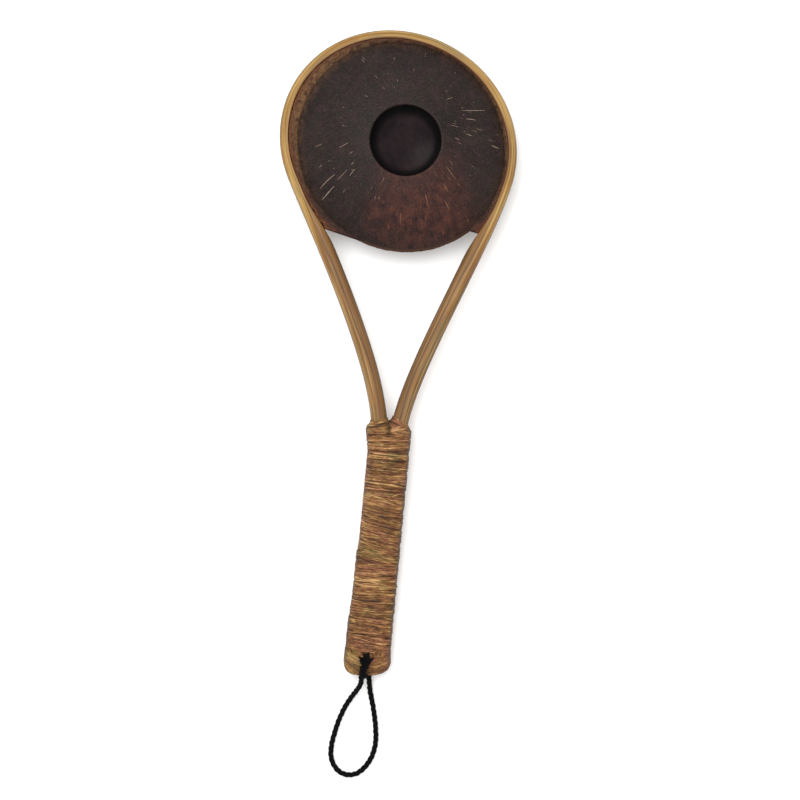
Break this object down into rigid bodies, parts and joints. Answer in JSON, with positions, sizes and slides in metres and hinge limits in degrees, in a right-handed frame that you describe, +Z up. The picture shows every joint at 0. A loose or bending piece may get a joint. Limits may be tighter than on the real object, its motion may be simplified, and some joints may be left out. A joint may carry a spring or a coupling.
{
  "type": "maraca hand rattle",
  "caption": "Flat hand rattle: a domed, recessed coconut-shell disc in a bent rattan hoop, with a raffia-bound handle, loose seeds inside and a cord loop at the butt.",
  "frame": {"origin": "on the table under the middle of the rattle's length and width, as it lies on its back", "axes": "+Y from the butt to the head, +X to the right seen from above, +Z up, out of the recessed front"},
  "size_m": [0.1189, 0.3741, 0.0396],
  "materials": {
    "rattan": "satin, worn smooth",
    "coconut_shell": "polished",
    "recess_shell": "polished",
    "shell_glue": "matte, sanded",
    "raffia": "dry, fibrous",
    "cord_fibre": "matte, twisted",
    "seed": "dry, smooth"
  },
  "bodies": {
    "rattle": {"rattan_hoop": "rattan", "front_shell": "coconut_shell", "back_shell": "coconut_shell", "recess_cup": "recess_shell", "shell_seam_glue": "shell_glue", "front_glue_fillet": "shell_glue", "back_glue_fillet": "shell_glue", "under_binding": "raffia", "grip_binding": "raffia", "left_fork_binding": "raffia", "right_fork_binding": "raffia", "butt_binding": "raffia", "cord_knot": "cord_fibre"},
    "seed_01": {"seed_01": "seed"},
    "seed_02": {"seed_02": "seed"},
    "seed_03": {"seed_03": "seed"},
    "seed_04": {"seed_04": "seed"},
    "seed_05": {"seed_05": "seed"},
    "seed_06": {"seed_06": "seed"},
    "seed_07": {"seed_07": "seed"},
    "seed_08": {"seed_08": "seed"},
    "seed_09": {"seed_09": "seed"},
    "seed_10": {"seed_10": "seed"},
    "seed_11": {"seed_11": "seed"},
    "seed_12": {"seed_12": "seed"},
    "cord_loop": {"cord_loop": "cord_fibre"}
  },
  "joints": [
    {"name": "seed_01_roll", "type": "hinge", "parent": "rattle", "child": "seed_01", "pos_m": [0.0013, 0.10072, 0.08322], "axis": [0, -0.9987, -0.0517], "range_deg": [0, 25]},
    {"name": "seed_02_roll", "type": "hinge", "parent": "rattle", "child": "seed_02", "pos_m": [0.0013, 0.10105, 0.07687], "axis": [0.6428, -0.765, -0.0396], "range_deg": [0, 26]},
    {"name": "seed_03_roll", "type": "hinge", "parent": "rattle", "child": "seed_03", "pos_m": [0.0013, 0.10095, 0.07869], "axis": [0.9848, -0.1734, -0.009], "range_deg": [0, 26]},
    {"name": "seed_04_roll", "type": "hinge", "parent": "rattle", "child": "seed_04", "pos_m": [0.0013, 0.10056, 0.08622], "axis": [0.866, 0.4993, 0.0259], "range_deg": [0, 25]},
    {"name": "seed_05_roll", "type": "hinge", "parent": "rattle", "child": "seed_05", "pos_m": [0.0013, 0.10053, 0.08681], "axis": [0.342, 0.9384, 0.0486], "range_deg": [0, 25]},
    {"name": "seed_06_roll", "type": "hinge", "parent": "rattle", "child": "seed_06", "pos_m": [0.0013, 0.10092, 0.07934], "axis": [-0.342, 0.9384, 0.0486], "range_deg": [0, 26]},
    {"name": "seed_07_roll", "type": "hinge", "parent": "rattle", "child": "seed_07", "pos_m": [0.0013, 0.10106, 0.07663], "axis": [-0.866, 0.4993, 0.0259], "range_deg": [0, 26]},
    {"name": "seed_08_roll", "type": "hinge", "parent": "rattle", "child": "seed_08", "pos_m": [0.0013, 0.10076, 0.0824], "axis": [-0.9848, -0.1734, -0.009], "range_deg": [0, 25]},
    {"name": "seed_09_roll", "type": "hinge", "parent": "rattle", "child": "seed_09", "pos_m": [0.0013, 0.10047, 0.08809], "axis": [-0.6428, -0.765, -0.0396], "range_deg": [0, 24]},
    {"name": "seed_10_hop", "type": "slide", "parent": "rattle", "child": "seed_10", "axis": [0, -0.0517, 0.9987], "range_m": [0, 0.0163]},
    {"name": "seed_11_hop", "type": "slide", "parent": "rattle", "child": "seed_11", "axis": [0, -0.0517, 0.9987], "range_m": [0, 0.0163]},
    {"name": "seed_12_hop", "type": "slide", "parent": "rattle", "child": "seed_12", "axis": [0, -0.0517, 0.9987], "range_m": [0, 0.0163]},
    {"name": "cord_swing", "type": "hinge", "parent": "rattle", "child": "cord_loop", "pos_m": [0.0007, -0.164, 0.0114], "axis": [-1, 0, 0], "range_deg": [0, 100]}
  ]
}
